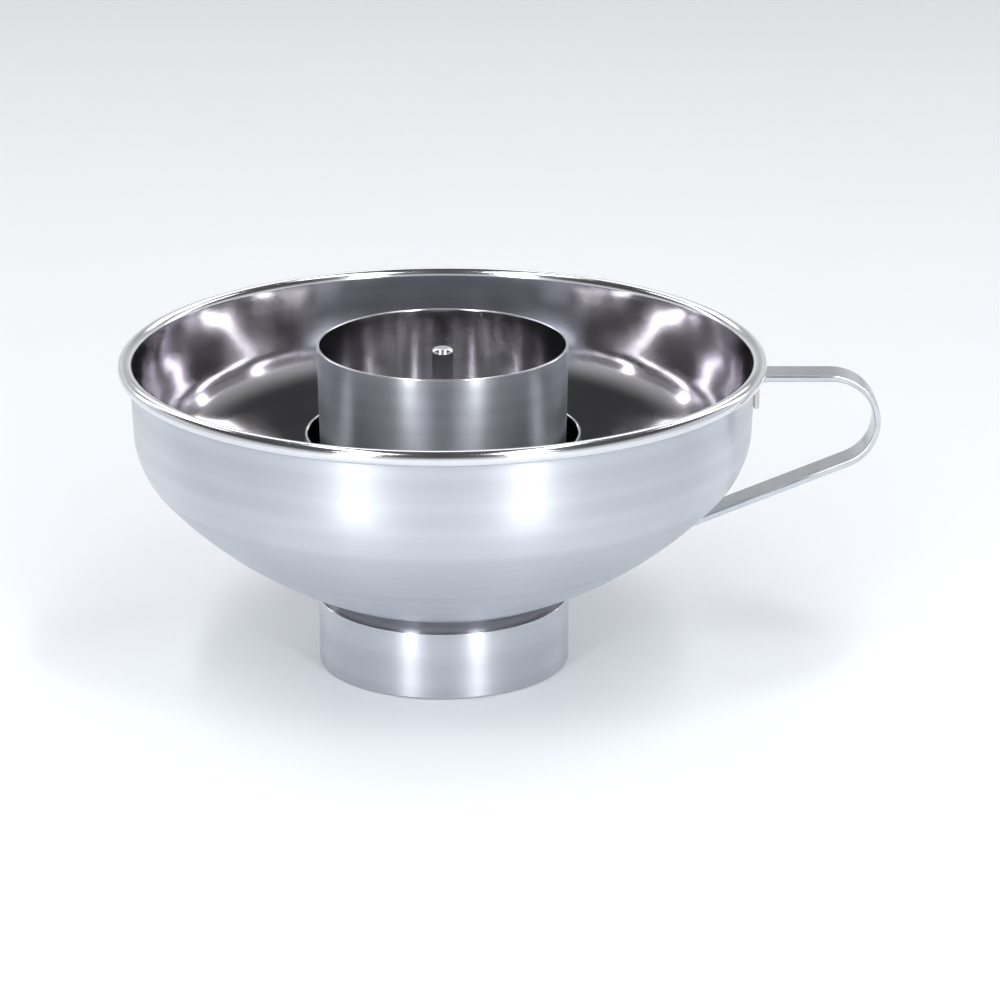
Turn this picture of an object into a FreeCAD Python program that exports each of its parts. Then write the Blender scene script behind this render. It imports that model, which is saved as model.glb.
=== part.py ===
import FreeCAD, Part
import os
from math import atan2, cos, hypot, pi, sin
import Sketcher

# A canning funnel in three nesting pieces of sheet steel: a wide bowl with a jar collar and
# a strap handle, a middle funnel, and a narrow funnel with a lift-out strainer.
# The origin is on the common axis, at the foot of the jar collar.  +Z is up, and the handle
# points along +X.  Sizes are in millimetres and degrees.

DRIVING_SIZES = {
    # Jar collar: a straight ring under the wide bowl.
    "collar_radius": 27.5,
    "collar_height": 14.8,
    "collar_gauge": 0.8,
    # Wide bowl: one pressed sheet, from the neck inside the collar to the rolled bead.
    "bowl_gauge": 0.8,
    "neck_depth": 8.0,
    "neck_groove": 0.4,
    "neck_fillet": 3.0,
    "throat_slope": 23.0,
    "belly_slope": 48.0,
    "bowl_shoulder": 19.0,
    "bowl_radius": 67.4,
    "bowl_wall": 14.0,
    "bowl_lean": 2.0,
    "bead_radius": 1.65,
    "bead_turn": 295.0,
    # Strap handle, bent in one plane and welded under the bead and low on the belly.
    "strap_gauge": 1.3,
    "strap_width": 8.0,
    "strap_gap": 1.0,
    "strap_bite": 0.4,
    "strap_edge": 0.35,
    "strap_bend": 2.2,
    "strap_tab": 4.5,
    "loop_radius": 10.0,
    "loop_reach": 16.6,
    "foot_slope": 37.0,
    "foot_bend": 14.0,
    "foot_tab": 10.0,
    # Middle funnel: a plain-edged cup on a short spout.  Its rim reaches mid_catch past the
    # wide bowl's throat, so that it can't fall through.
    "mid_gauge": 0.6,
    "mid_catch": 4.1,
    "mid_wall": 17.5,
    "mid_lean": 2.0,
    "mid_shoulder": 15.0,
    "mid_slope": 37.0,
    "mid_fillet": 1.2,
    "mid_groove": 0.5,
    "mid_spout_radius": 14.3,
    "mid_spout_end": 13.8,
    "mid_spout_height": 14.2,
    "mid_sleeve": 4.0,
    # Rounding of both plain rims.
    "edge_round": 0.2,
    # Narrow funnel: a deep cup on a long thin tube.  Its rim clears the inside of the middle
    # cup by nest_clearance all round.
    "narrow_gauge": 0.6,
    "nest_clearance": 2.2,
    "narrow_wall": 21.0,
    "narrow_lean": 1.2,
    "narrow_shoulder": 6.0,
    "narrow_slope": 40.0,
    "narrow_fillet": 0.9,
    "narrow_groove": 0.4,
    "tube_radius": 5.4,
    "tube_height": 28.4,
    "tube_sleeve": 5.0,
    # Strainer: a flanged disc of drilled sheet with a post to lift it by.
    "disc_gauge": 0.6,
    "disc_clearance": 0.3,
    "disc_flange": 3.0,
    "disc_corner": 1.2,
    "seat_clearance": 0.1,
    "hole_radius": 0.8,
    "flower_radius": 2.1,
    "flower_circle": 14.7,
    "post_radius": 2.35,
    "post_depth_under_rim": 0.8,
    "post_dome": 1.0,
    "rivet_radius": 1.5,
    "rivet_head": 0.8,
    "washer_radius": 3.6,
    "washer_gauge": 0.6,
}
FLOWERS = 6
HOLES_ROUND_FLOWER = 6

doc = FreeCAD.newDocument("canning_funnel")
sheet = doc.addObject("Spreadsheet::Sheet", "Sizes")
for row, (alias, value) in enumerate(DRIVING_SIZES.items(), start=1):
    sheet.set(f"A{row}", alias)
    sheet.set(f"B{row}", str(value))
    sheet.setAlias(f"B{row}", alias)
places = doc.addObject("App::VarSet", "Places")
doc.recompute()


def sine(angle):
    return f"sin(({angle}) * 1 deg)"


def cosine(angle):
    return f"cos(({angle}) * 1 deg)"


def tangent(angle):
    return f"tan(({angle}) * 1 deg)"


def number(formula):
    """The present value of a formula in sheet and place names."""
    found = sheet.evalExpression(formula)
    return float(getattr(found, "Value", found))


def place(name, formula):
    """Adds a worked-out length to the variable set, tied to the sheet by its formula."""
    places.addProperty("App::PropertyFloat", name, "Worked out", formula)
    places.setExpression(name, formula)
    doc.recompute()
    return f"Places.{name}"


# ---------------------------------------------------------------- outlines in sketches


def around(centre, radius, angle):
    """A point on a circle, as a pair of formulas; the angle is counted from +X."""
    return (f"({centre[0]}) + ({radius}) * {cosine(angle)}",
            f"({centre[1]}) + ({radius}) * {sine(angle)}")


class Outline:
    """A closed outline of lines and arcs, each corner given as a pair of formulas."""

    def __init__(self, start):
        self.corners = [start]
        self.spans = []

    def line(self, end):
        self.spans.append(("line",))
        self.corners.append(end)
        return self

    def arc(self, end, centre, radius, counter_clockwise):
        self.spans.append(("arc", centre, radius, counter_clockwise))
        self.corners.append(end)
        return self

    def close(self):
        self.spans.append(("line",))
        return self


def new_body(label):
    body = doc.addObject("PartDesign::Body", label)
    body.Label = label
    return body


def new_sketch(body, name, role):
    sketch = body.newObject("Sketcher::SketchObject", name)
    for origin_feature in body.Origin.OriginFeatures:
        if origin_feature.Role == role:
            sketch.AttachmentSupport = [(origin_feature, "")]
    sketch.MapMode = "FlatFace"
    return sketch


def bind(sketch, kind, geometry, name, formula, point=None):
    """Adds one named size to a sketch and ties it to its formula."""
    where = [geometry] if point is None else [geometry, point]
    index = sketch.addConstraint(Sketcher.Constraint(kind, *where, number(formula)))
    sketch.renameConstraint(index, name)
    sketch.setExpression(f"Constraints.{name}", formula)


def arc_between(first, last, centre, counter_clockwise):
    """An arc from first to last about the centre, the way round that is asked for."""
    radius = hypot(first[0] - centre[0], first[1] - centre[1])
    start = atan2(first[1] - centre[1], first[0] - centre[0])
    stop = atan2(last[1] - centre[1], last[0] - centre[0])
    sweep = (stop - start) % (2 * pi) if counter_clockwise else -((start - stop) % (2 * pi))
    half = start + sweep / 2
    points = (first, (centre[0] + radius * cos(half), centre[1] + radius * sin(half)), last)
    return Part.Arc(*[FreeCAD.Vector(x, y, 0) for x, y in points])


def draw(sketch, outline):
    """Draws the outline into the sketch; every corner and radius follows its formula."""
    corners = [(number(x), number(y)) for x, y in outline.corners]
    count = len(outline.spans)
    starts, ends = [], []
    for index, span in enumerate(outline.spans):
        first, last = corners[index], corners[(index + 1) % count]
        if span[0] == "line":
            edge = Part.LineSegment(FreeCAD.Vector(*first, 0), FreeCAD.Vector(*last, 0))
            turned = False
        else:
            centre = (number(span[1][0]), number(span[1][1]))
            edge = arc_between(first, last, centre, span[3])
            turned = not span[3]
        sketch.addGeometry(edge, False)
        starts.append(2 if turned else 1)
        ends.append(1 if turned else 2)
    for index in range(count):
        after = (index + 1) % count
        sketch.addConstraint(Sketcher.Constraint("Coincident", index, ends[index],
                                                 after, starts[after]))
    for index, (x, y) in enumerate(outline.corners[:count]):
        bind(sketch, "DistanceX", index, f"across_{index}", x, starts[index])
        bind(sketch, "DistanceY", index, f"up_{index}", y, starts[index])
    for index, span in enumerate(outline.spans):
        if span[0] == "arc":
            bind(sketch, "Radius", index, f"radius_{index}", span[2])
    doc.recompute()


def turned_body(label, outline):
    """A piece turned about the common axis from an outline in the XZ plane."""
    body = new_body(label)
    sketch = new_sketch(body, f"{label}_outline", "XZ_Plane")
    draw(sketch, outline)
    turn = body.newObject("PartDesign::Revolution", f"{label}_turned")
    turn.Profile = sketch
    turn.ReferenceAxis = (sketch, ["V_Axis"])
    turn.Angle = 360
    doc.recompute()
    return body


# ---------------------------------------------------------------- the three pressed cups


class Cup:
    """The shape of one cup: neck, fillet, slope, shoulder and leaning wall.

    The neck's outer face fits the spout's bore.  The names are formulas, and the outer face
    is the reference: the inner face has the same centres, one gauge in.
    """

    def __init__(self, name, gauge, neck_radius, neck_low, neck_high, fillet,
                 low_slope, high_slope, shoulder, wall, lean, rim_radius):
        self.gauge, self.neck_radius, self.neck_low = gauge, neck_radius, neck_low
        self.neck_high, self.fillet, self.shoulder = neck_high, fillet, shoulder
        self.low_slope, self.high_slope, self.lean = low_slope, high_slope, lean
        self.curved = low_slope != high_slope
        self.rim_radius = rim_radius
        self.shoulder_across = place(
            f"{name}_shoulder_across",
            f"{rim_radius} - {wall} * {sine(lean)} - {shoulder} * {cosine(lean)}")
        fillet_end = around(self.fillet_centre(), fillet, f"90 + {low_slope}")
        run = place(f"{name}_run", f"{self.shoulder_across} + {shoulder} * {sine(high_slope)}"
                                   f" - ({fillet_end[0]})")
        if self.curved:
            self.belly = place(f"{name}_belly",
                               f"{run} / ({sine(high_slope)} - {sine(low_slope)})")
            rise = f"{self.belly} * ({cosine(low_slope)} - {cosine(high_slope)})"
        else:
            rise = f"{run} * {tangent(low_slope)}"
        self.shoulder_up = place(f"{name}_shoulder_up", f"({fillet_end[1]}) + {rise}"
                                                        f" + {shoulder} * {cosine(high_slope)}")
        self.rim_up = place(f"{name}_rim_up", f"{self.shoulder_up} - {shoulder} * {sine(lean)}"
                                              f" + {wall} * {cosine(lean)}")

    def fillet_centre(self):
        return f"{self.neck_radius} + {self.fillet}", self.neck_high

    def shoulder_centre(self):
        return self.shoulder_across, self.shoulder_up

    def belly_centre(self):
        longer = f"({self.shoulder} - {self.belly})"
        return (f"{self.shoulder_across} + {longer} * {sine(self.high_slope)}",
                f"{self.shoulder_up} - {longer} * {cosine(self.high_slope)}")

    def fillet_end(self, inset):
        return around(self.fillet_centre(), f"({self.fillet} + {inset})",
                      f"90 + {self.low_slope}")

    def slope_end(self, inset):
        return around(self.shoulder_centre(), f"({self.shoulder} - {inset})",
                      f"{self.high_slope} - 90")

    def wall_foot(self, inset):
        return around(self.shoulder_centre(), f"({self.shoulder} - {inset})", f"-{self.lean}")

    def wall_top(self, inset):
        return (f"{self.rim_radius} - {inset} * {cosine(self.lean)}",
                f"{self.rim_up} + {inset} * {sine(self.lean)}")

    def rise_along(self, outline):
        """Continues an outline from the fillet's end up the outer face to the rim."""
        if self.curved:
            outline.arc(self.slope_end("0"), self.belly_centre(), self.belly, True)
        else:
            outline.line(self.slope_end("0"))
        outline.arc(self.wall_foot("0"), self.shoulder_centre(), self.shoulder, True)
        return outline.line(self.wall_top("0"))

    def outline(self, add_rim):
        gauge = self.gauge
        outline = Outline((self.neck_radius, self.neck_low))
        outline.line((self.neck_radius, self.neck_high))
        outline.arc(self.fillet_end("0"), self.fillet_centre(), self.fillet, False)
        self.rise_along(outline)
        add_rim(outline, self)
        outline.line(self.wall_foot(gauge))
        outline.arc(self.slope_end(gauge), self.shoulder_centre(),
                    f"{self.shoulder} - {gauge}", False)
        if self.curved:
            outline.arc(self.fillet_end(gauge), self.belly_centre(),
                        f"{self.belly} - {gauge}", False)
        else:
            outline.line(self.fillet_end(gauge))
        outline.arc((f"{self.neck_radius} - {gauge}", self.neck_high), self.fillet_centre(),
                    f"{self.fillet} + {gauge}", True)
        outline.line((f"{self.neck_radius} - {gauge}", self.neck_low))
        return outline.close()


def smoothed_rim(outline, cup):
    """A plain cut edge with its two corners rounded off."""
    edge = "Sizes.edge_round"
    outer, inner = cup.wall_top(edge), cup.wall_top(f"({cup.gauge} - {edge})")
    outline.arc(around(outer, edge, f"90 - {cup.lean}"), outer, edge, True)
    outline.line(around(inner, edge, f"90 - {cup.lean}"))
    outline.arc(cup.wall_top(cup.gauge), inner, edge, True)


def bead_centre(cup):
    curl = f"(Sizes.bead_radius - {cup.gauge})"
    return (f"{cup.rim_radius} + {curl} * {cosine(cup.lean)}",
            f"{cup.rim_up} - {curl} * {sine(cup.lean)}")


def rolled_rim(outline, cup):
    """The sheet curls over outwards, down and back towards the wall."""
    curl = f"Sizes.bead_radius - {cup.gauge}"
    centre, last = bead_centre(cup), f"180 - {cup.lean} - Sizes.bead_turn"
    outline.arc(around(centre, f"({curl})", last), centre, curl, False)
    outline.line(around(centre, "Sizes.bead_radius", last))
    outline.arc(cup.wall_top(cup.gauge), centre, "Sizes.bead_radius", True)


def tube_outline(outer_low, outer_high, gauge, low, high, straight_from=None):
    """A tube's wall; above straight_from it is a straight sleeve, below it may taper."""
    outline = Outline((f"{outer_low} - {gauge}", low))
    outline.line((outer_low, low))
    if straight_from:
        outline.line((outer_high, straight_from))
    outline.line((outer_high, high))
    outline.line((f"{outer_high} - {gauge}", high))
    if straight_from:
        outline.line((f"{outer_high} - {gauge}", straight_from))
    return outline.close()


wide = Cup("bowl", "Sizes.bowl_gauge", "(Sizes.collar_radius - Sizes.collar_gauge)",
           "(Sizes.collar_height - Sizes.neck_depth)",
           "(Sizes.collar_height + Sizes.neck_groove)", "Sizes.neck_fillet",
           "Sizes.throat_slope", "Sizes.belly_slope", "Sizes.bowl_shoulder",
           "Sizes.bowl_wall", "Sizes.bowl_lean", "Sizes.bowl_radius")
mid_radius = place("mid_radius", "Sizes.collar_radius - Sizes.collar_gauge"
                                 " - Sizes.bowl_gauge + Sizes.mid_catch")
narrow_radius = place("narrow_radius",
                      f"{mid_radius} - Sizes.mid_gauge - Sizes.nest_clearance")
mid = Cup("mid", "Sizes.mid_gauge", "(Sizes.mid_spout_radius - Sizes.mid_gauge)",
          "(Sizes.mid_spout_height - Sizes.mid_sleeve)",
          "(Sizes.mid_spout_height + Sizes.mid_groove)", "Sizes.mid_fillet",
          "Sizes.mid_slope", "Sizes.mid_slope", "Sizes.mid_shoulder",
          "Sizes.mid_wall", "Sizes.mid_lean", mid_radius)
narrow = Cup("narrow", "Sizes.narrow_gauge", "(Sizes.tube_radius - Sizes.narrow_gauge)",
             "(Sizes.tube_height - Sizes.tube_sleeve)",
             "(Sizes.tube_height + Sizes.narrow_groove)", "Sizes.narrow_fillet",
             "Sizes.narrow_slope", "Sizes.narrow_slope", "Sizes.narrow_shoulder",
             "Sizes.narrow_wall", "Sizes.narrow_lean", narrow_radius)

turned_body("wide_bowl", wide.outline(rolled_rim))
turned_body("jar_collar", tube_outline("Sizes.collar_radius", "Sizes.collar_radius",
                                       "Sizes.collar_gauge", "0", "Sizes.collar_height"))
turned_body("mid_cup", mid.outline(smoothed_rim))
turned_body("mid_spout", tube_outline(
    "Sizes.mid_spout_end", "Sizes.mid_spout_radius", "Sizes.mid_gauge", "0",
    "Sizes.mid_spout_height", "(Sizes.mid_spout_height - Sizes.mid_sleeve)"))
turned_body("narrow_cup", narrow.outline(smoothed_rim))
turned_body("narrow_tube", tube_outline("Sizes.tube_radius", "Sizes.tube_radius",
                                        "Sizes.narrow_gauge", "0", "Sizes.tube_height"))

# ---------------------------------------------------------------- strap handle

half, foot = "Sizes.strap_gauge / 2", "Sizes.foot_slope"
top_up = place("strap_top_up", f"({bead_centre(wide)[1]}) - Sizes.bead_radius"
                               f" - Sizes.strap_gap - {half}")
tab_across = place("strap_tab_across", f"Sizes.bowl_radius - Sizes.strap_bite + {half}")
bend_centre = (f"({tab_across} + Sizes.strap_bend)", f"({top_up} - Sizes.strap_bend)")
loop_centre = (place("strap_loop_across", "Sizes.bowl_radius + Sizes.loop_reach"),
               place("strap_loop_up", f"{top_up} - Sizes.loop_radius"))
# The lower leg and the foot tab would meet at this corner, one bite into the belly.
foot_corner = around(wide.belly_centre(), f"({wide.belly} + {half} - Sizes.strap_bite)",
                     f"{foot} - 90")
corner_across = place("strap_corner_across", foot_corner[0])
corner_up = place("strap_corner_up", foot_corner[1])
# The lower leg is the line from that corner that touches the loop from below.
run, rise = f"({loop_centre[0]} - {corner_across})", f"({loop_centre[1]} - {corner_up})"
leg = place("strap_leg_slope", f"(atan2({rise}; {run}) - asin(Sizes.loop_radius"
                               f" / sqrt({run} ^ 2 + {rise} ^ 2))) / 1 deg")
easing = place("strap_easing", f"Sizes.foot_bend * {tangent(f'({foot} - {leg}) / 2')}")
foot_centre = (f"({corner_across} + {easing} * {cosine(leg)} + Sizes.foot_bend * {sine(leg)})",
               f"({corner_up} + {easing} * {sine(leg)} - Sizes.foot_bend * {cosine(leg)})")
tab_end = (f"({corner_across} - Sizes.foot_tab * {cosine(foot)})",
           f"({corner_up} - Sizes.foot_tab * {sine(foot)})")


def strap_outline():
    """Both faces of the strap: out along the outer face, back along the inner one."""
    low = f"{bend_centre[1]} - Sizes.strap_tab"
    outline = Outline((f"{tab_across} - {half}", low))
    outline.line((f"{tab_across} - {half}", bend_centre[1]))
    outline.arc((bend_centre[0], f"{top_up} + {half}"), bend_centre,
                f"Sizes.strap_bend + {half}", False)
    outline.line((loop_centre[0], f"{top_up} + {half}"))
    outline.arc(around(loop_centre, f"(Sizes.loop_radius + {half})", f"{leg} - 90"),
                loop_centre, f"Sizes.loop_radius + {half}", False)
    outline.line(around(foot_centre, f"(Sizes.foot_bend - {half})", f"90 + {leg}"))
    outline.arc(around(foot_centre, f"(Sizes.foot_bend - {half})", f"90 + {foot}"),
                foot_centre, f"Sizes.foot_bend - {half}", True)
    outline.line(around(tab_end, half, f"{foot} - 90"))
    outline.line(around(tab_end, half, f"{foot} + 90"))
    outline.line(around(foot_centre, f"(Sizes.foot_bend + {half})", f"90 + {foot}"))
    outline.arc(around(foot_centre, f"(Sizes.foot_bend + {half})", f"90 + {leg}"),
                foot_centre, f"Sizes.foot_bend + {half}", False)
    outline.line(around(loop_centre, f"(Sizes.loop_radius - {half})", f"{leg} - 90"))
    outline.arc((loop_centre[0], f"{top_up} - {half}"), loop_centre,
                f"Sizes.loop_radius - {half}", True)
    outline.line((bend_centre[0], f"{top_up} - {half}"))
    outline.arc((f"{tab_across} + {half}", bend_centre[1]), bend_centre,
                f"Sizes.strap_bend - {half}", True)
    outline.line((f"{tab_across} + {half}", low))
    return outline.close()


handle = new_body("handle_strap")
strap_sketch = new_sketch(handle, "strap_outline", "XZ_Plane")
draw(strap_sketch, strap_outline())
strap_pad = handle.newObject("PartDesign::Pad", "strap_pad")
strap_pad.Profile = strap_sketch
strap_pad.Midplane = True
strap_pad.setExpression("Length", "Sizes.strap_width")
doc.recompute()
faces = [f"Face{index}" for index, face in enumerate(strap_pad.Shape.Faces, start=1)
         if abs(abs(face.normalAt(0, 0).y) - 1) < 1e-6]
strap_round = handle.newObject("PartDesign::Fillet", "strap_round")
strap_round.Base = (strap_pad, faces)
strap_round.setExpression("Radius", "Sizes.strap_edge")
doc.recompute()
# The weld faces take the bowl's own curve: everything inside its outer face is cut away.
fit_sketch = new_sketch(handle, "strap_fit", "XZ_Plane")
fit = Outline(("0", wide.fillet_end("0")[1]))
fit.line(wide.fillet_end("0"))
wide.rise_along(fit)
fit.line(("0", wide.rim_up))
draw(fit_sketch, fit.close())
strap_fit = handle.newObject("PartDesign::Groove", "strap_fit_cut")
strap_fit.Profile = fit_sketch
strap_fit.ReferenceAxis = (fit_sketch, ["V_Axis"])
strap_fit.Angle = 360
doc.recompute()

# ---------------------------------------------------------------- strainer

# The disc's flange stands on the narrow cup's shoulder, where the cup has just begun to
# close in: the flange is disc_clearance inside the wall and seat_clearance off the shoulder.
inner_shoulder = "(Sizes.narrow_shoulder - Sizes.narrow_gauge)"
disc_radius = place("disc_radius", f"{narrow.shoulder_across} + {inner_shoulder}"
                                   f" - Sizes.disc_clearance")
seat_across = f"({disc_radius} + Sizes.seat_clearance - {narrow.shoulder_across})"
seat_up = place("seat_up", f"{narrow.shoulder_up}"
                           f" - sqrt({inner_shoulder} ^ 2 - {seat_across} ^ 2)")
disc_up = place("disc_up", f"{seat_up} + Sizes.disc_flange")
corner = "Sizes.disc_corner"
corner_at = (f"{disc_radius} - {corner}", f"{disc_up} - {corner}")
inner_corner = f"({corner} - Sizes.disc_gauge)"

disc_outline = Outline(("Sizes.rivet_radius", f"{disc_up} - Sizes.disc_gauge"))
disc_outline.line((corner_at[0], f"{disc_up} - Sizes.disc_gauge"))
disc_outline.arc((f"{corner_at[0]} + {inner_corner}", corner_at[1]), corner_at,
                 inner_corner, False)
disc_outline.line((f"{disc_radius} - Sizes.disc_gauge", seat_up))
disc_outline.line((disc_radius, seat_up))
disc_outline.line((disc_radius, corner_at[1]))
disc_outline.arc((corner_at[0], disc_up), corner_at, corner, True)
disc_outline.line(("Sizes.rivet_radius", disc_up))
disc = turned_body("strainer_disc", disc_outline.close())

flower_sketch = new_sketch(disc, "flower_of_holes", "XY_Plane")
flower_points = [("Sizes.flower_circle", "0")]
for hole in range(HOLES_ROUND_FLOWER):
    flower_points.append(around(("Sizes.flower_circle", "0"), "Sizes.flower_radius",
                                f"360 / {HOLES_ROUND_FLOWER} * {hole}"))
for index, (across, along) in enumerate(flower_points):
    centre = FreeCAD.Vector(number(across), number(along), 0)
    flower_sketch.addGeometry(Part.Circle(centre, FreeCAD.Vector(0, 0, 1),
                                          number("Sizes.hole_radius")), False)
    bind(flower_sketch, "DistanceX", index, f"across_{index}", across, 3)
    bind(flower_sketch, "DistanceY", index, f"along_{index}", along, 3)
    bind(flower_sketch, "Radius", index, f"radius_{index}", "Sizes.hole_radius")
doc.recompute()
flower = disc.newObject("PartDesign::Pocket", "flower_cut")
flower.Profile = flower_sketch
flower.Type = "ThroughAll"
flower.Reversed = True
doc.recompute()
flowers = disc.newObject("PartDesign::PolarPattern", "flowers_round_disc")
flowers.Originals = [flower]
flowers.Axis = (flower_sketch, ["N_Axis"])
flowers.Angle = 360
flowers.Occurrences = FLOWERS
disc.Tip = flowers
doc.recompute()

washer_low = f"({disc_up} - Sizes.disc_gauge - Sizes.washer_gauge)"
turned_body("strainer_washer", tube_outline(
    "Sizes.washer_radius", "Sizes.washer_radius",
    "(Sizes.washer_radius - Sizes.rivet_radius)", washer_low,
    f"{disc_up} - Sizes.disc_gauge"))

# The post stands on the disc.  Its thin end goes through disc and washer and is peened over.
post_top = f"({narrow.rim_up} - Sizes.post_depth_under_rim)"
head_radius = "(Sizes.rivet_radius + Sizes.rivet_head)"
post_outline = Outline(("0", f"{washer_low} - Sizes.rivet_head"))
post_outline.line(("Sizes.rivet_radius", f"{washer_low} - Sizes.rivet_head"))
post_outline.arc((head_radius, washer_low), ("Sizes.rivet_radius", washer_low),
                 "Sizes.rivet_head", True)
post_outline.line(("Sizes.rivet_radius", washer_low))
post_outline.line(("Sizes.rivet_radius", disc_up))
post_outline.line(("Sizes.post_radius", disc_up))
post_outline.line(("Sizes.post_radius", f"{post_top} - Sizes.post_dome"))
post_outline.arc(("Sizes.post_radius - Sizes.post_dome", post_top),
                 ("Sizes.post_radius - Sizes.post_dome", f"{post_top} - Sizes.post_dome"),
                 "Sizes.post_dome", True)
post_outline.line(("0", post_top))
turned_body("strainer_post", post_outline.close())

# ---------------------------------------------------------------- checks and files

doc.recompute()
problems = []
for item in doc.Objects:
    if {"Invalid", "Error"} & set(item.State):
        problems.append(f"{item.Label} did not build")
bodies = [item for item in doc.Objects if item.TypeId == "PartDesign::Body"]
for body in bodies:
    if body.Shape.isNull() or not body.Shape.isValid():
        problems.append(f"{body.Label} has no valid shape")
    elif len(body.Shape.Solids) != 1:
        problems.append(f"{body.Label} has {len(body.Shape.Solids)} solids")
if disc.Shape.Volume >= disc.Group[1].Shape.Volume:
    problems.append("the strainer's holes cut nothing")
if problems:
    raise RuntimeError("; ".join(problems))

os.makedirs("parts", exist_ok=True)
for body in bodies:
    body.Shape.exportStep(f"parts/{body.Label}.step")
    box = body.Shape.BoundBox
    print(f"{body.Label:16s} volume {body.Shape.Volume:9.1f}  x {box.XMin:7.2f} {box.XMax:7.2f}"
          f"  z {box.ZMin:7.2f} {box.ZMax:7.2f}")
for name in places.PropertiesList:
    if places.getGroupOfProperty(name) == "Worked out":
        print(f"{name:24s} {getattr(places, name):9.3f}")
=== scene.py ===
from math import asin, atan2, cos, degrees, hypot, pi, radians, sin, tan

import bmesh
import bpy
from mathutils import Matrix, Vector


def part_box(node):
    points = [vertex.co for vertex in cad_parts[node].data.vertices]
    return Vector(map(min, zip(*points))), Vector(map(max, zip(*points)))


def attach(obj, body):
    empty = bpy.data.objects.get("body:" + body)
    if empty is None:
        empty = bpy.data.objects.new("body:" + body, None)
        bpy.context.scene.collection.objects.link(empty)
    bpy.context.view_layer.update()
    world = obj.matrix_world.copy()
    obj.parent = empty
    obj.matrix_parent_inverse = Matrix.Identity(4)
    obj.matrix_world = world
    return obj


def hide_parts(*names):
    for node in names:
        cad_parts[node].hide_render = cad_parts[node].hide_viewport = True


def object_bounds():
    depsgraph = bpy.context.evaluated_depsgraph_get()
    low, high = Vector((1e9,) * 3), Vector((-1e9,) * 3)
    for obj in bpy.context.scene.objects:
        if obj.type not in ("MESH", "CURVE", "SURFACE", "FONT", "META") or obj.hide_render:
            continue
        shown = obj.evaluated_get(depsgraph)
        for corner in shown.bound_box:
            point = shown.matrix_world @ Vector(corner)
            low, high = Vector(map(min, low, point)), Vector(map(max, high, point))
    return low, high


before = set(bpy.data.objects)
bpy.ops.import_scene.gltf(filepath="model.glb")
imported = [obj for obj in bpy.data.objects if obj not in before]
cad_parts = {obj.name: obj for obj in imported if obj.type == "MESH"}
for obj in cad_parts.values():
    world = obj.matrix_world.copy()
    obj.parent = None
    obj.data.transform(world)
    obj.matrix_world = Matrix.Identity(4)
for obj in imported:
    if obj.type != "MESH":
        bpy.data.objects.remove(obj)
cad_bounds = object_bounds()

# A canning funnel of sheet steel: a wide bowl with jar collar and strap handle, a middle
# funnel and a narrow funnel with its strainer, one inside the other.  Outlines are worked
# out in millimetres, across (distance from the axis) and up, and made in metres.

MM = 0.001
ROUND = 256          # steps round a turned piece
FINE_ROUND = 96      # steps round a small turned piece
OUTSIDE, EDGE, INSIDE = 0, 1, 2      # material slots of a turned sheet
SHARP_ANGLE = 38
ON_AXIS = 1e-6       # millimetres
MERGE_WITHIN = 1e-7  # metres


def high(node):
    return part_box(node)[1].z / MM


def low(node):
    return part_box(node)[0].z / MM


def reach(node):
    """A turned piece's outer radius; measured along Y, where no handle is in the way."""
    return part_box(node)[1].y / MM


# ------------------------------------------------------------------ outlines


def on_circle(centre, radius, angle):
    return (centre[0] + radius * cos(radians(angle)), centre[1] + radius * sin(radians(angle)))


def arc(centre, radius, start, end, steps):
    """Points along an arc, its first point left out, so that spans can be joined."""
    return [on_circle(centre, radius, start + (end - start) * k / steps)
            for k in range(1, steps + 1)]


def line(start, end, steps):
    return [(start[0] + (end[0] - start[0]) * k / steps,
             start[1] + (end[1] - start[1]) * k / steps) for k in range(1, steps + 1)]


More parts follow.
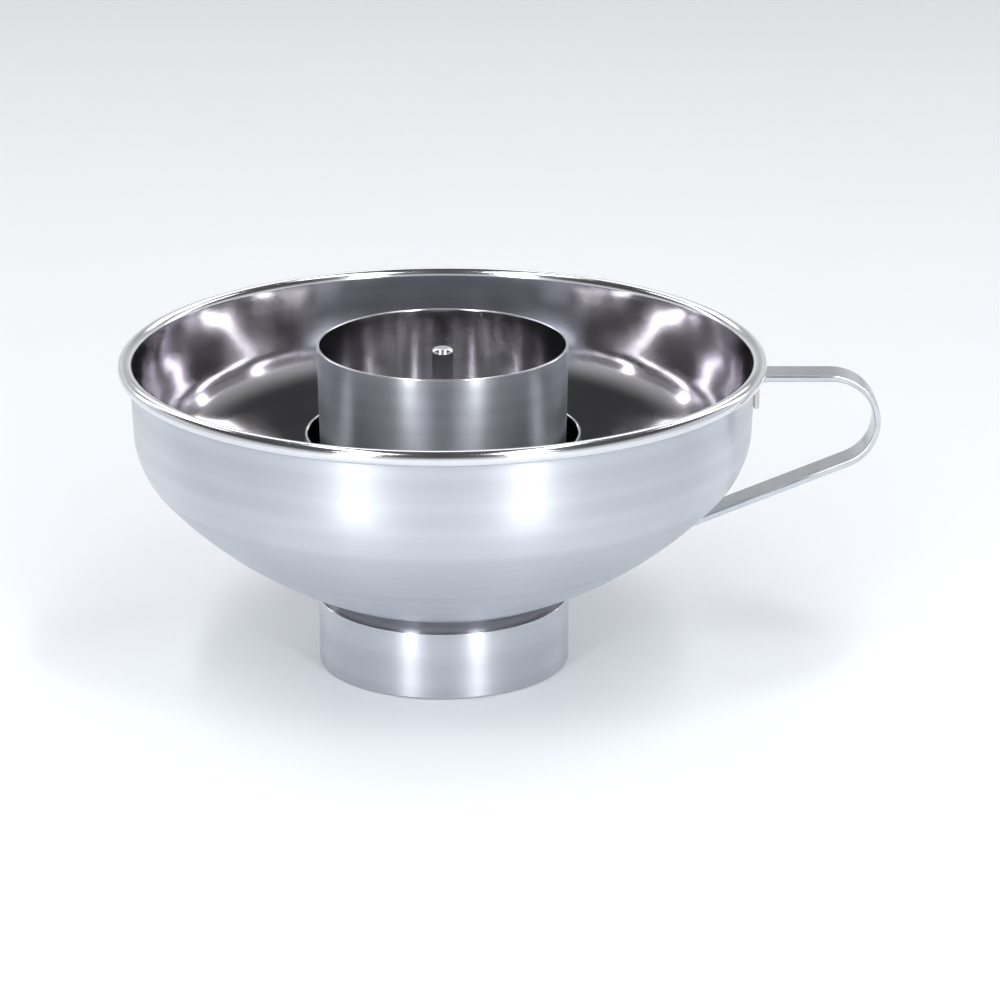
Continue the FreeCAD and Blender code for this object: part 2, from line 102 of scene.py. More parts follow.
class Cup:
    """A pressed cup: neck, fillet, slope or belly, shoulder and leaning wall."""

    def __init__(self, gauge, neck_radius, neck_low, neck_high, fillet, slopes, shoulder,
                 wall, lean, rim_radius):
        self.gauge, self.neck_radius = gauge, neck_radius
        self.neck_low, self.neck_high = neck_low, neck_high
        self.fillet, self.shoulder, self.lean = fillet, shoulder, lean
        self.low_slope, self.high_slope = slopes
        self.rim_radius = rim_radius
        self.fillet_at = (neck_radius + fillet, neck_high)
        start = on_circle(self.fillet_at, fillet, 90 + self.low_slope)
        lean_angle = radians(lean)
        lows, highs = radians(self.low_slope), radians(self.high_slope)
        across = rim_radius - wall * sin(lean_angle) - shoulder * cos(lean_angle)
        run = across + shoulder * sin(highs) - start[0]
        self.curved = self.low_slope != self.high_slope
        if self.curved:
            self.belly = run / (sin(highs) - sin(lows))
            rise = self.belly * (cos(lows) - cos(highs))
        else:
            rise = run * tan(lows)
        up = start[1] + rise + shoulder * cos(highs)
        self.shoulder_at = (across, up)
        self.rim_up = up - shoulder * sin(lean_angle) + wall * cos(lean_angle)
        if self.curved:
            longer = shoulder - self.belly
            self.belly_at = (across + longer * sin(highs), up - longer * cos(highs))

    def wall_top(self, inset):
        return (self.rim_radius - inset * cos(radians(self.lean)),
                self.rim_up + inset * sin(radians(self.lean)))

    def face(self, inset):
        """The points of one face, from the neck up to the rim."""
        points = [(self.neck_radius - inset, self.neck_low)]
        points += line(points[-1], (self.neck_radius - inset, self.neck_high), 4)
        points += arc(self.fillet_at, self.fillet + inset, 180, 90 + self.low_slope, 10)
        if self.curved:
            points += arc(self.belly_at, self.belly - inset, self.low_slope - 90,
                          self.high_slope - 90, 40)
        else:
            end = on_circle(self.shoulder_at, self.shoulder - inset, self.high_slope - 90)
            points += line(points[-1], end, 12)
        points += arc(self.shoulder_at, self.shoulder - inset, self.high_slope - 90,
                      -self.lean, 24)
        return points + line(points[-1], self.wall_top(inset), 8)

    def radius_at(self, height):
        """The outer face's radius at a height, from its points."""
        points = self.face(0)
        for (r0, z0), (r1, z1) in zip(points, points[1:]):
            if z0 <= height <= z1 and z1 > z0:
                return r0 + (r1 - r0) * (height - z0) / (z1 - z0)
        return None


def closed(*stretches):
    """Joins (points, finish) stretches into one outline with a finish for each span."""
    points, finishes = [], []
    for stretch, finish in stretches:
        for point in stretch:
            points.append(point)
            finishes.append(finish)
    return points, finishes


def plain_rim(cup, edge):
    """Both corners of a cut edge, rounded."""
    outer, inner = cup.wall_top(edge), cup.wall_top(cup.gauge - edge)
    return (arc(outer, edge, -cup.lean, 90 - cup.lean, 5)
            + [on_circle(inner, edge, 90 - cup.lean)]
            + arc(inner, edge, 90 - cup.lean, 180 - cup.lean, 5))


def rolled_rim(cup, bead_radius, turn):
    """The sheet curls over outwards and down, and its end stops short of the wall."""
    curl = bead_radius - cup.gauge
    centre = (cup.rim_radius + curl * cos(radians(cup.lean)),
              cup.rim_up - curl * sin(radians(cup.lean)))
    start, last = 180 - cup.lean, 180 - cup.lean - turn
    return (arc(centre, curl, start, last, 40)
            + [on_circle(centre, bead_radius, last)]
            + arc(centre, bead_radius, last, start, 56))


def cup_outline(cup, rim):
    return closed((cup.face(0), OUTSIDE), (rim, EDGE), (cup.face(cup.gauge)[::-1], INSIDE))


def tube_outline(stations, gauge, edge):
    """A tube's wall from its (radius, height) stations, low to high, with rounded ends."""
    (r_low, z_low), (r_high, z_high) = stations[0], stations[-1]
    outer = [(r_low, z_low + edge)] + list(stations[1:-1]) + [(r_high, z_high - edge)]
    top = (arc((r_high - edge, z_high - edge), edge, 0, 90, 4)
           + [(r_high - gauge + edge, z_high)]
           + arc((r_high - gauge + edge, z_high - edge), edge, 90, 180, 4))
    inner = [(r - gauge, z) for r, z in stations[1:-1]][::-1] + [(r_low - gauge, z_low + edge)]
    foot = (arc((r_low - gauge + edge, z_low + edge), edge, 180, 270, 4)
            + [(r_low - edge, z_low)]
            + arc((r_low - edge, z_low + edge), edge, 270, 359, 4))
    return closed((outer, OUTSIDE), (top, EDGE), (inner, INSIDE), (foot, EDGE))


# ------------------------------------------------------------------ meshes


def new_piece(name, bm, materials, node, body):
    """Makes the object, gives it its materials, and lets it stand for its CAD node."""
    mesh = bpy.data.meshes.new(name)
    bm.to_mesh(mesh)
    bm.free()
    for polygon in mesh.polygons:
        polygon.use_smooth = True
    mesh.set_sharp_from_angle(angle=radians(SHARP_ANGLE))
    piece = bpy.data.objects.new(name, mesh)
    bpy.context.collection.objects.link(piece)
    for material in materials:
        mesh.materials.append(material)
    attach(piece, body)
    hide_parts(node)


def turn(outline, steps):
    """Turns a closed outline about Z.  Points on the axis become one point."""
    points, finishes = outline
    bm = bmesh.new()
    rings = []
    for across, up in points:
        if across < ON_AXIS:
            pole = bm.verts.new((0, 0, up * MM))
            rings.append([pole] * steps)
            continue
        rings.append([bm.verts.new((across * MM * cos(2 * pi * k / steps),
                                    across * MM * sin(2 * pi * k / steps), up * MM))
                      for k in range(steps)])
    count = len(points)
    for index in range(count):
        ring, after = rings[index], rings[(index + 1) % count]
        for k in range(steps):
            nxt = (k + 1) % steps
            corners = []
            for vert in (ring[k], ring[nxt], after[nxt], after[k]):
                if vert not in corners:
                    corners.append(vert)
            if len(corners) >= 3:
                bm.faces.new(corners).material_index = finishes[(index + 1) % count]
    bmesh.ops.remove_doubles(bm, verts=bm.verts, dist=MERGE_WITHIN)
    bmesh.ops.recalc_face_normals(bm, faces=bm.faces)
    return bm


# ------------------------------------------------------------------ material nodes


class Nodes:
    """A small helper that adds nodes to a tree and links them by socket name."""

    def __init__(self, tree):
        self.tree = tree
        tree.nodes.clear()

    def add(self, kind, settings=None, **inputs):
        node = self.tree.nodes.new(kind)
        for key, value in (settings or {}).items():
            setattr(node, key, value)
        for key, value in inputs.items():
            socket = node.inputs[int(key[1:])] if key[0] == "_" else node.inputs[key]
            self.put(socket, value)
        return node

    def put(self, socket, value):
        if isinstance(value, bpy.types.NodeSocket):
            self.tree.links.new(value, socket)
        else:
            socket.default_value = value

    def maths(self, operation, first, second=0.0, clamp=False):
        node = self.add("ShaderNodeMath", {"operation": operation, "use_clamp": clamp},
                        _0=first, _1=second)
        return node.outputs[0]

    def ramp(self, value, low_in, high_in, low_out=0.0, high_out=1.0):
        node = self.add("ShaderNodeMapRange", {"interpolation_type": "SMOOTHSTEP"})
        for socket, item in zip(node.inputs, (value, low_in, high_in, low_out, high_out)):
            self.put(socket, item)
        return node.outputs[0]

    def noise(self, vector, scale, detail=2.0, rough=0.5, distortion=0.0):
        node = self.add("ShaderNodeTexNoise", Vector=vector, Scale=scale, Detail=detail,
                        Roughness=rough, Distortion=distortion)
        return node.outputs["Fac"]

    def mix(self, factor, first, second):
        node = self.add("ShaderNodeMix", {"data_type": "RGBA"})
        self.put(node.inputs[0], factor)
        self.put(node.inputs[6], first)
        self.put(node.inputs[7], second)
        return node.outputs[2]


RING_SCALE, SMEAR_SCALE = 1900.0, 34.0
SMUDGE, RING_ROUGHNESS = 0.03, 0.05  # how far smears and rings move the roughness
RING_DARK, RING_PALE = (0.95, 0.95, 0.95), (1.04, 1.04, 1.04)
SMEAR_DARK, SMEAR_STRENGTH = (0.84, 0.83, 0.82), 0.25
# The last colour here is painted shade, the dark of the crease above the jar collar.
STRAW, BLUE, PAINTED_SHADE = (0.56, 0.43, 0.27, 1.0), (0.30, 0.31, 0.40, 1.0), (0.10, 0.10, 0.12, 1.0)
BUMP_STRENGTH, QUARTER_TURN = 0.3, 0.25


def toned(colour, shares):
    """A colour with each of its parts scaled, as RGBA."""
    return tuple(part * share for part, share in zip(colour, shares)) + (1.0,)


def steel(name, colour, roughness, anisotropy, rings, weld_spots=(), weld_size=0.004,
          shaded=None):
    """Turned sheet steel, with rings of polish about the axis and smudges.

    rings is the depth of the polish rings in metres of bump.  weld_spots are weld places,
    where the heat leaves a straw and blue halo, and shaded is the stretch of height, as
    (low, high, strength), where painted shade darkens the sheet: it stands for the shadow
    in the crease above the jar collar, under the bowl's overhang.
    """
    material = bpy.data.materials.new(name)
    material.use_nodes = True
    n = Nodes(material.node_tree)
    place = n.add("ShaderNodeTexCoord").outputs["Object"]
    parts = n.add("ShaderNodeSeparateXYZ", _0=place).outputs
    across = n.maths("SQRT", n.maths("ADD", n.maths("MULTIPLY", parts[0], parts[0]),
                                     n.maths("MULTIPLY", parts[1], parts[1])))
    profile = n.add("ShaderNodeCombineXYZ", _0=across, _1=parts[2]).outputs[0]
    fine = n.noise(profile, RING_SCALE, 3.0, 0.6)
    broad = n.noise(profile, RING_SCALE / 8, 2.0, 0.5)
    smear = n.noise(place, SMEAR_SCALE, 3.0, 0.55, distortion=0.5)

    rough = n.maths("ADD", n.ramp(smear, 0.3, 0.7, roughness - SMUDGE, roughness + SMUDGE),
                    n.maths("MULTIPLY", n.maths("SUBTRACT", fine, 0.5), RING_ROUGHNESS),
                    clamp=True)

    base = n.mix(n.ramp(broad, 0.3, 0.7), toned(colour, RING_DARK), toned(colour, RING_PALE))
    base = n.mix(n.maths("MULTIPLY", n.ramp(smear, 0.5, 0.8), SMEAR_STRENGTH), base,
                 toned(colour, SMEAR_DARK))
    for spot in weld_spots:
        gap = n.add("ShaderNodeVectorMath", {"operation": "DISTANCE"}, _0=place)
        gap.inputs[1].default_value = spot
        near = gap.outputs["Value"]
        straw = n.ramp(near, weld_size * 0.6, weld_size * 1.5, 0.40, 0.0)
        halo = n.ramp(near, weld_size * 0.35, weld_size * 0.9, 0.55, 0.0)
        base = n.mix(straw, base, STRAW)
        base = n.mix(halo, base, BLUE)
    # Painted shade: a dark band from the collar's top up the neck fillet stands for the shadow
    # there.
    if shaded:
        low_edge, high_edge, strength = shaded
        rising = n.ramp(parts[2], low_edge - 0.0006, low_edge + 0.0004, 0.0, strength)
        falling = n.ramp(parts[2], high_edge - 0.002, high_edge + 0.002, 1.0, 0.0)
        base = n.mix(n.maths("MULTIPLY", rising, falling), base, PAINTED_SHADE)

    height = n.maths("ADD", n.maths("MULTIPLY", fine, 0.7), n.maths("MULTIPLY", broad, 0.3))
    bump = n.add("ShaderNodeBump", Strength=BUMP_STRENGTH, Distance=rings, Height=height)
    shader = n.add("ShaderNodeBsdfPrincipled", Metallic=1.0)
    n.put(shader.inputs["Base Color"], base)
    n.put(shader.inputs["Roughness"], rough)
    n.put(shader.inputs["Normal"], bump.outputs[0])
    shader.inputs["Anisotropic"].default_value = anisotropy
    shader.inputs["Anisotropic Rotation"].default_value = QUARTER_TURN
    tangent = n.add("ShaderNodeTangent", {"direction_type": "RADIAL", "axis": "Z"})
    n.put(shader.inputs["Tangent"], tangent.outputs[0])
    output = n.add("ShaderNodeOutputMaterial")
    n.put(output.inputs["Surface"], shader.outputs[0])
    return material


def floor_material():
    material = bpy.data.materials.new("pale_floor")
    material.use_nodes = True
    n = Nodes(material.node_tree)
    place = n.add("ShaderNodeTexCoord").outputs["Object"]
    tone = n.noise(place, 6.0, 3.0, 0.5)
    colour = n.mix(tone, (0.76, 0.79, 0.82, 1), (0.80, 0.825, 0.85, 1))
    shader = n.add("ShaderNodeBsdfPrincipled", Roughness=0.55)
    n.put(shader.inputs["Base Color"], colour)
    output = n.add("ShaderNodeOutputMaterial")
    n.put(output.inputs["Surface"], shader.outputs[0])
    return material


# ------------------------------------------------------------------ wide funnel

COLLAR_RADIUS = reach("jar_collar")
COLLAR_HIGH = high("jar_collar")
COLLAR_GAUGE, COLLAR_EDGE, NECK_FILLET = 0.8, 0.2, 3.0
wide = Cup(gauge=0.8, neck_radius=COLLAR_RADIUS - COLLAR_GAUGE, neck_low=low("wide_bowl"),
           neck_high=COLLAR_HIGH + 0.4, fillet=NECK_FILLET, slopes=(23.0, 48.0),
           shoulder=19.0, wall=14.0, lean=2.0, rim_radius=67.4)
BEAD_RADIUS, BEAD_TURN = 1.65, 295.0

STRAP_GAUGE, STRAP_WIDTH = 1.3, 8.0
STRAP_GAP, STRAP_BITE, STRAP_EDGE = 1.0, 0.4, 0.35
STRAP_BEND, STRAP_TAB, LOOP_RADIUS, LOOP_REACH = 2.2, 4.5, 10.0, 16.6
FOOT_SLOPE, FOOT_BEND, FOOT_TAB = 37.0, 14.0, 10.0
STRAP_STEP = 0.4                     # length of one straight step along the strap
STRAP_FLAT_STEPS, LEAST_EDGE = 24, 0.05
END_SHRINK = (0.22, 0.06)            # how far the last two sections draw in


def strap_path():
    """The strap's middle line, as (across, up, heading) from the upper weld to the lower."""
    half = STRAP_GAUGE / 2
    bead_up = wide.rim_up - (BEAD_RADIUS - wide.gauge) * sin(radians(wide.lean))
    top = bead_up - BEAD_RADIUS - STRAP_GAP - half
    tab = wide.rim_radius - STRAP_BITE + half
    bend = (tab + STRAP_BEND, top - STRAP_BEND)
    corner = on_circle(wide.belly_at, wide.belly + half - STRAP_BITE, FOOT_SLOPE - 90)
    loop_across, loop_up = wide.rim_radius + LOOP_REACH, top - LOOP_RADIUS
    run, rise = loop_across - corner[0], loop_up - corner[1]
    leg, foot = atan2(rise, run) - asin(LOOP_RADIUS / hypot(run, rise)), radians(FOOT_SLOPE)
    leg_slope = degrees(leg)
    easing = FOOT_BEND * tan((foot - leg) / 2)
    foot_at = (corner[0] + easing * cos(leg) + FOOT_BEND * sin(leg),
               corner[1] + easing * sin(leg) - FOOT_BEND * cos(leg))
    path = []

    def straight(start, end, heading):
        steps = max(2, round(hypot(end[0] - start[0], end[1] - start[1]) / STRAP_STEP))
        for k in range(steps):
            path.append((start[0] + (end[0] - start[0]) * k / steps,
                         start[1] + (end[1] - start[1]) * k / steps, heading))

    def bent(centre, radius, start, end, steps, side):
        for k in range(steps):
            angle = start + (end - start) * k / steps
            x, z = on_circle(centre, radius, angle)
            path.append((x, z, angle - 90 * side))

    straight((tab, bend[1] - STRAP_TAB), (tab, bend[1]), 90)
    bent(bend, STRAP_BEND, 180, 90, 16, 1)
    straight((bend[0], top), (loop_across, top), 0)
    bent((loop_across, loop_up), LOOP_RADIUS, 90, leg_slope - 90, 56, 1)
    loop_end = on_circle((loop_across, loop_up), LOOP_RADIUS, leg_slope - 90)
    foot_start = on_circle(foot_at, FOOT_BEND, 90 + leg_slope)
    straight(loop_end, foot_start, leg_slope - 180)
    bent(foot_at, FOOT_BEND, 90 + leg_slope, 90 + FOOT_SLOPE, 10, -1)
    foot_end = on_circle(foot_at, FOOT_BEND, 90 + FOOT_SLOPE)
    length = FOOT_TAB - easing
    end = (foot_end[0] - length * cos(foot), foot_end[1] - length * sin(foot))
    straight(foot_end, end, FOOT_SLOPE - 180)
    path.append((end[0], end[1], FOOT_SLOPE - 180))
    return path


def strap_section(shrink):
    """A flat strip's section with rounded edges, as (sideways, outwards) offsets."""
    half_width, half_gauge = STRAP_WIDTH / 2 - shrink, STRAP_GAUGE / 2 - shrink
    edge = max(STRAP_EDGE - shrink, LEAST_EDGE)
    points = []
    for sx, sy, start in ((1, 1, 0), (-1, 1, 90), (-1, -1, 180), (1, -1, 270)):
        centre = (sx * (half_width - edge), sy * (half_gauge - edge))
        points += [on_circle(centre, edge, start + 90 * k / 4) for k in range(5)]
        if sx == sy:
            flat = half_width - edge
            points += [(sx * flat * (1 - 2 * k / STRAP_FLAT_STEPS), sy * half_gauge)
                       for k in range(1, STRAP_FLAT_STEPS)]
    return points


WELD_SIDES = (1.9, -1.9)             # two spot welds on each tab, side by side
WELD_RADIUS, WELD_DEPTH = 1.15, 0.16
UPPER_WELD, LOWER_WELD = 0.5, 0.42   # how far along each tab its welds are


def weld_places():
    """Where the strap's path passes the upper and the lower pair of welds."""
    path = strap_path()
    return (path[round(STRAP_TAB * UPPER_WELD / STRAP_STEP)],
            path[-round(FOOT_TAB * LOWER_WELD / STRAP_STEP)])


def strap_mesh():
    path = strap_path()
    bm = bmesh.new()
    rings = []
    marks = [(x, z) for x, z, _ in weld_places()]
    for index, (x, z, heading) in enumerate(path):
        from_end = min(index, len(path) - 1 - index)
        shrink = END_SHRINK[from_end] if from_end < len(END_SHRINK) else 0.0
        left = radians(heading + 90)
        ring = []
        for sideways, outwards in strap_section(shrink):
            sunk = 0.0
            if outwards > STRAP_GAUGE / 2 - 0.01:
                for mark_x, mark_z in marks:
                    for weld_side in WELD_SIDES:
                        gap = hypot(hypot(x - mark_x, z - mark_z), sideways - weld_side)
                        sunk += WELD_DEPTH * max(0.0, 1 - (gap / WELD_RADIUS) ** 4)
            px = x + (outwards - sunk) * cos(left)
            pz = z + (outwards - sunk) * sin(left)
            skin = wide.radius_at(pz)
            if skin is not None and hypot(px, sideways) < skin:
                px = (skin ** 2 - sideways ** 2) ** 0.5
            ring.append(bm.verts.new((px * MM, sideways * MM, pz * MM)))
        rings.append(ring)
    for ring, after in zip(rings, rings[1:]):
        for k in range(len(ring)):
            nxt = (k + 1) % len(ring)
            bm.faces.new((ring[k], ring[nxt], after[nxt], after[k]))
    bm.faces.new(rings[0][::-1])
    bm.faces.new(rings[-1])
    bmesh.ops.recalc_face_normals(bm, faces=bm.faces)
    return bm


def spots_on_bowl():
    return [(x * MM, side * MM, z * MM) for x, z, _ in weld_places() for side in WELD_SIDES]


# Each finish is a colour, a roughness, an anisotropy and a ring depth in metres.  The satin
# rendered with mottled dashes at a lower roughness that varied more.
SATIN = ((0.56, 0.585, 0.63), 0.345, 0.8, 0.000012)
POLISHED = ((0.50, 0.485, 0.515), 0.13, 0.6, 0.000010)
BEAD_FINISH = ((0.74, 0.75, 0.78), 0.15, 0.3, 0.000006)
STRAP_FINISH = ((0.56, 0.58, 0.615), 0.20, 0.0, 0.000006)
DISC_FINISH = ((0.68, 0.69, 0.71), 0.16, 0.5, 0.000012)
POST_FINISH = ((0.62, 0.62, 0.64), 0.15, 0.2, 0.000006)
# The second number is how strongly painted shade darkens the neck above the collar.
STRAP_WELD_SIZE, PAINTED_SHADE_STRENGTH = 0.0026, 0.75

steel_outside = steel("satin_steel", *SATIN)
steel_bead = steel("polished_bead", *BEAD_FINISH)
steel_inside = steel("polished_inside", *POLISHED)
# The bowl's satin carries painted shade in the crease above the collar.
steel_bowl = steel("satin_bowl", *SATIN, weld_spots=spots_on_bowl(),
                   shaded=(COLLAR_HIGH * MM, (COLLAR_HIGH + NECK_FILLET) * MM,
                           PAINTED_SHADE_STRENGTH))
steel_strap = steel("satin_strap", *STRAP_FINISH, weld_spots=spots_on_bowl(),
                    weld_size=STRAP_WELD_SIZE)
sheet_materials = (steel_outside, steel_bead, steel_inside)

new_piece("wide_bowl_sheet", turn(cup_outline(wide, rolled_rim(wide, BEAD_RADIUS, BEAD_TURN)),
                                  ROUND),
          (steel_bowl, steel_bead, steel_inside), "wide_bowl", "wide_funnel")
collar = tube_outline(((COLLAR_RADIUS, 0.0), (COLLAR_RADIUS, COLLAR_HIGH / 2),
                       (COLLAR_RADIUS, COLLAR_HIGH)), COLLAR_GAUGE, COLLAR_EDGE)
new_piece("jar_collar_ring", turn(collar, ROUND), sheet_materials, "jar_collar",
          "wide_funnel")
new_piece("handle_strap_bent", strap_mesh(), (steel_strap,), "handle_strap", "wide_funnel")

# ------------------------------------------------------------------ middle and narrow funnels

MID_GAUGE, MID_SPOUT_RADIUS, MID_SPOUT_END = 0.6, reach("mid_spout"), 13.8
MID_SPOUT_HIGH, MID_SLEEVE = high("mid_spout"), 4.0
middle = Cup(gauge=MID_GAUGE, neck_radius=MID_SPOUT_RADIUS - MID_GAUGE,
             neck_low=low("mid_cup"), neck_high=MID_SPOUT_HIGH + 0.5, fillet=1.2,
             slopes=(37.0, 37.0), shoulder=15.0, wall=17.5, lean=2.0, rim_radius=30.0)
NARROW_GAUGE, TUBE_RADIUS, TUBE_HIGH = 0.6, reach("narrow_tube"), high("narrow_tube")
narrow = Cup(gauge=NARROW_GAUGE, neck_radius=TUBE_RADIUS - NARROW_GAUGE,
             neck_low=low("narrow_cup"), neck_high=TUBE_HIGH + 0.4, fillet=0.9,
             slopes=(40.0, 40.0), shoulder=6.0, wall=21.0, lean=1.2, rim_radius=27.2)
RIM_EDGE = 0.2
new_piece("mid_cup_sheet", turn(cup_outline(middle, plain_rim(middle, RIM_EDGE)), ROUND),
          sheet_materials, "mid_cup", "mid_funnel")
new_piece("mid_spout_tube", turn(tube_outline(
    ((MID_SPOUT_END, 0.0), (MID_SPOUT_RADIUS, MID_SPOUT_HIGH - MID_SLEEVE),
     (MID_SPOUT_RADIUS, MID_SPOUT_HIGH)), MID_GAUGE, RIM_EDGE), FINE_ROUND),
          sheet_materials, "mid_spout", "mid_funnel")
new_piece("narrow_cup_sheet", turn(cup_outline(narrow, plain_rim(narrow, RIM_EDGE)), ROUND),
          sheet_materials, "narrow_cup", "narrow_funnel")
new_piece("narrow_tube_long", turn(tube_outline(
    ((TUBE_RADIUS, 0.0), (TUBE_RADIUS, TUBE_HIGH / 2), (TUBE_RADIUS, TUBE_HIGH)),
    NARROW_GAUGE, RIM_EDGE), FINE_ROUND),
          sheet_materials, "narrow_tube", "narrow_funnel")

# ------------------------------------------------------------------ strainer

DISC_GAUGE, DISC_CORNER, RIVET_RADIUS = 0.6, 1.2, 1.5
HOLE_RADIUS, FLOWER_RADIUS, FLOWER_CIRCLE, FLOWERS, PETALS = 0.8, 2.1, 14.7, 6, 6
HOLE_ROUND, COUNTERSINK = 28, 0.1
DISC_EDGE, WASHER_EDGE = 0.15, 0.12


def flower_holes():
    """The middles of every hole: a hole in the middle of each flower and a ring round it."""
    middles = []
    for flower in range(FLOWERS):
        turned = 360 * flower / FLOWERS
        middle_hole = on_circle((0, 0), FLOWER_CIRCLE, turned)
        middles.append(middle_hole)
        middles += [on_circle(middle_hole, FLOWER_RADIUS, turned + 360 * k / PETALS)
                    for k in range(PETALS)]
    return middles


def disc_mesh():
    """The flanged disc: its flat is filled between the holes, its flange is turned."""
    disc_low, disc_high = low("strainer_disc"), high("strainer_disc")
    radius = reach("strainer_disc")
    corner = (radius - DISC_CORNER, disc_high - DISC_CORNER)
    edge = DISC_EDGE
    flange = ([(corner[0], disc_high - DISC_GAUGE)]
              + arc(corner, DISC_CORNER - DISC_GAUGE, 90, 0, 8)
              + [(radius - DISC_GAUGE, disc_low + edge)]
              + arc((radius - DISC_GAUGE + edge, disc_low + edge), edge, 180, 270, 4)
              + [(radius - edge, disc_low)]
              + arc((radius - edge, disc_low + edge), edge, 270, 359, 4)
              + arc(corner, DISC_CORNER, 0, 90, 12))
    bm = bmesh.new()
    rings = []
    for across, up in flange:
        rings.append([bm.verts.new((across * MM * cos(2 * pi * k / ROUND),
                                    across * MM * sin(2 * pi * k / ROUND), up * MM))
                      for k in range(ROUND)])

    def bridge(ring, after, finish):
        for k in range(len(ring)):
            nxt = (k + 1) % len(ring)
            bm.faces.new((ring[k], ring[nxt], after[nxt], after[k])).material_index = finish

    for ring, after in zip(rings, rings[1:]):
        bridge(ring, after, EDGE)

    def loop(middle_hole, radius_of, up, steps):
        return [bm.verts.new((middle_hole[0] * MM + radius_of * MM * cos(2 * pi * k / steps),
                              middle_hole[1] * MM + radius_of * MM * sin(2 * pi * k / steps),
                              up * MM)) for k in range(steps)]

    flats = {disc_high - DISC_GAUGE: [rings[0]], disc_high: [rings[-1]]}
    openings = [(spot, HOLE_RADIUS) for spot in flower_holes()] + [((0, 0), RIVET_RADIUS)]
    for spot, size in openings:
        lower = loop(spot, size, disc_high - DISC_GAUGE, HOLE_ROUND)
        upper = loop(spot, size, disc_high - COUNTERSINK, HOLE_ROUND)
        lip = loop(spot, size + COUNTERSINK, disc_high, HOLE_ROUND)
        bridge(lower, upper, OUTSIDE)
        bridge(upper, lip, OUTSIDE)
        flats[disc_high - DISC_GAUGE].append(lower)
        flats[disc_high].append(lip)
    for loops in flats.values():
        edges = []
        for ring in loops:
            for k in range(len(ring)):
                pair = (ring[k], ring[(k + 1) % len(ring)])
                edges.append(bm.edges.get(pair) or bm.edges.new(pair))
        bmesh.ops.triangle_fill(bm, edges=edges, use_beauty=True)
    bmesh.ops.recalc_face_normals(bm, faces=bm.faces)
    return bm


steel_disc = steel("strainer_steel", *DISC_FINISH)
steel_post = steel("post_steel", *POST_FINISH)
new_piece("strainer_disc_drilled", disc_mesh(), (steel_disc, steel_bead), "strainer_disc",
          "strainer")
washer_low, washer_high = low("strainer_washer"), high("strainer_washer")
washer = tube_outline(((reach("strainer_washer"), washer_low),
                       (reach("strainer_washer"), washer_high)),
                      reach("strainer_washer") - RIVET_RADIUS, WASHER_EDGE)
new_piece("strainer_washer_ring", turn(washer, FINE_ROUND), (steel_post,), "strainer_washer",
          "strainer")
POST_RADIUS, POST_DOME, RIVET_HEAD = 2.35, 1.0, 0.8
post_high = high("strainer_post")
post = closed(
    ([(0.0, washer_low - RIVET_HEAD), (RIVET_RADIUS, washer_low - RIVET_HEAD)], EDGE),
    (arc((RIVET_RADIUS, washer_low), RIVET_HEAD, 270, 360, 8), EDGE),
    ([(RIVET_RADIUS, washer_low), (RIVET_RADIUS, high("strainer_disc")),
      (POST_RADIUS, high("strainer_disc"))], OUTSIDE),
    (line((POST_RADIUS, high("strainer_disc")), (POST_RADIUS, post_high - POST_DOME), 12),
     OUTSIDE),
    (arc((POST_RADIUS - POST_DOME, post_high - POST_DOME), POST_DOME, 0, 90, 10), EDGE),
    ([(0.0, post_high)], EDGE))
new_piece("strainer_post_turned", turn(post, FINE_ROUND), (steel_post, steel_bead),
          "strainer_post", "strainer")

# ------------------------------------------------------------------ floor, light and camera

floor_mesh = bpy.data.meshes.new("floor")
FLOOR_HALF, FLOOR_DROP = 6.0, 0.0002
floor_mesh.from_pydata([(-FLOOR_HALF, -FLOOR_HALF, 0), (FLOOR_HALF, -FLOOR_HALF, 0),
                        (FLOOR_HALF, FLOOR_HALF, 0), (-FLOOR_HALF, FLOOR_HALF, 0)], [],
                       [(0, 1, 2, 3)])
floor = bpy.data.objects.new("floor", floor_mesh)
floor_mesh.materials.append(floor_material())
bpy.context.collection.objects.link(floor)
floor.location.z = -FLOOR_DROP

middle_of_object = Vector(((cad_bounds[0][0] + cad_bounds[1][0]) / 2, 0.0,
                           (cad_bounds[0][2] + cad_bounds[1][2]) / 2))


def softbox(name, azimuth, elevation, distance, size, power):
    """An area light that looks at the object; azimuth 0 is on the camera's side."""
    light = bpy.data.lights.new(name, "AREA")
    light.shape = "RECTANGLE"
    light.size, light.size_y = size
    light.energy = power
    lamp = bpy.data.objects.new(name, light)
    bpy.context.collection.objects.link(lamp)
    a, e = radians(azimuth), radians(elevation)
    away = Vector((sin(a) * cos(e), -cos(a) * cos(e), sin(e)))
    lamp.location = middle_of_object + away * distance
    lamp.rotation_euler = (-away).to_track_quat("-Z", "Y").to_euler()


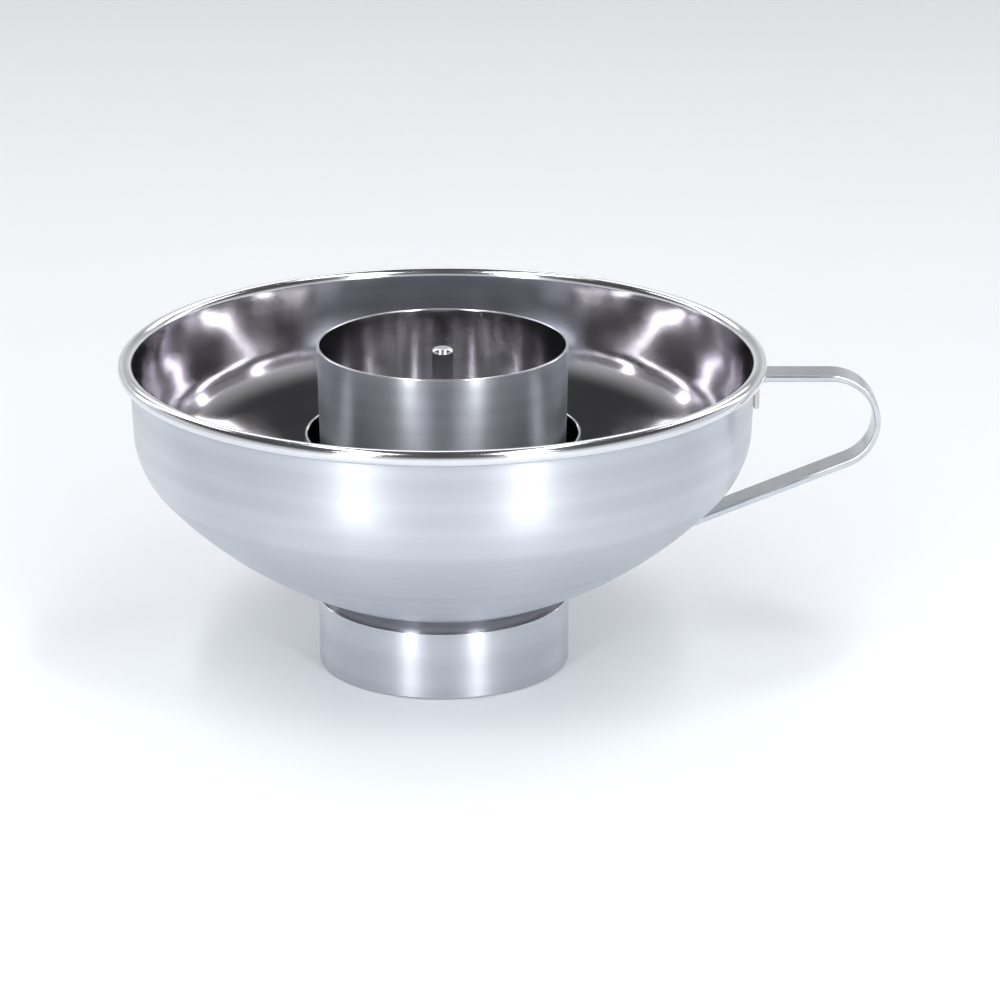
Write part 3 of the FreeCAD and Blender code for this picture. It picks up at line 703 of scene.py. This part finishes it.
# Name, azimuth, elevation, distance, (width, height) and power of the lamps on each side.
SIDE_LAMPS = (("box", 30, 22, 1.1, (0.13, 0.7), 5.2),
              ("high_box", 36, 54, 1.1, (0.13, 0.5), 2.6),
              ("overhead_strip", 90, 74, 1.2, (0.9, 0.10), 2.8),
              ("back_strip", 125, 30, 1.2, (0.14, 0.9), 2.0))
for hand, side in (("left", -1), ("right", 1)):
    for name, azimuth, *rest in SIDE_LAMPS:
        softbox(f"{hand}_{name}", azimuth * side, *rest)
softbox("back_panel", 180, 38, 2.6, (3.0, 1.0), 17.0)

# The sky goes from bright low down to dim overhead.
SKY_LOW, SKY_HIGH, SKY_BRIGHT, SKY_DIM = 0.08, 0.60, 0.84, 0.07
SKY_COLOUR, BLACK = (0.97, 0.985, 1.0, 1), (0, 0, 0, 1)
world = bpy.data.worlds.new("studio")
bpy.context.scene.world = world
world.use_nodes = True
w = Nodes(world.node_tree)
direction = w.add("ShaderNodeTexCoord").outputs["Generated"]
height_of = w.add("ShaderNodeSeparateXYZ", _0=direction).outputs[2]
back = w.add("ShaderNodeBackground")
sky = w.ramp(height_of, SKY_LOW, SKY_HIGH, SKY_BRIGHT, SKY_DIM)
w.put(back.inputs["Color"], w.mix(sky, BLACK, SKY_COLOUR))
w.put(w.add("ShaderNodeOutputWorld").inputs["Surface"], back.outputs[0])

CAMERA_ELEVATION, CAMERA_DISTANCE = 19.0, 0.82
CAMERA_LENS, CAMERA_SENSOR = 135, 36
camera_data = bpy.data.cameras.new("camera")
camera_data.lens, camera_data.sensor_width = CAMERA_LENS, CAMERA_SENSOR
camera = bpy.data.objects.new("camera", camera_data)
bpy.context.collection.objects.link(camera)
tilt = radians(CAMERA_ELEVATION)
to_camera = Vector((0, -cos(tilt), sin(tilt)))
camera.location = middle_of_object + to_camera * CAMERA_DISTANCE
camera.rotation_euler = (-to_camera).to_track_quat("-Z", "Y").to_euler()
bpy.context.scene.camera = camera
bpy.context.scene.view_settings.view_transform = "Standard"
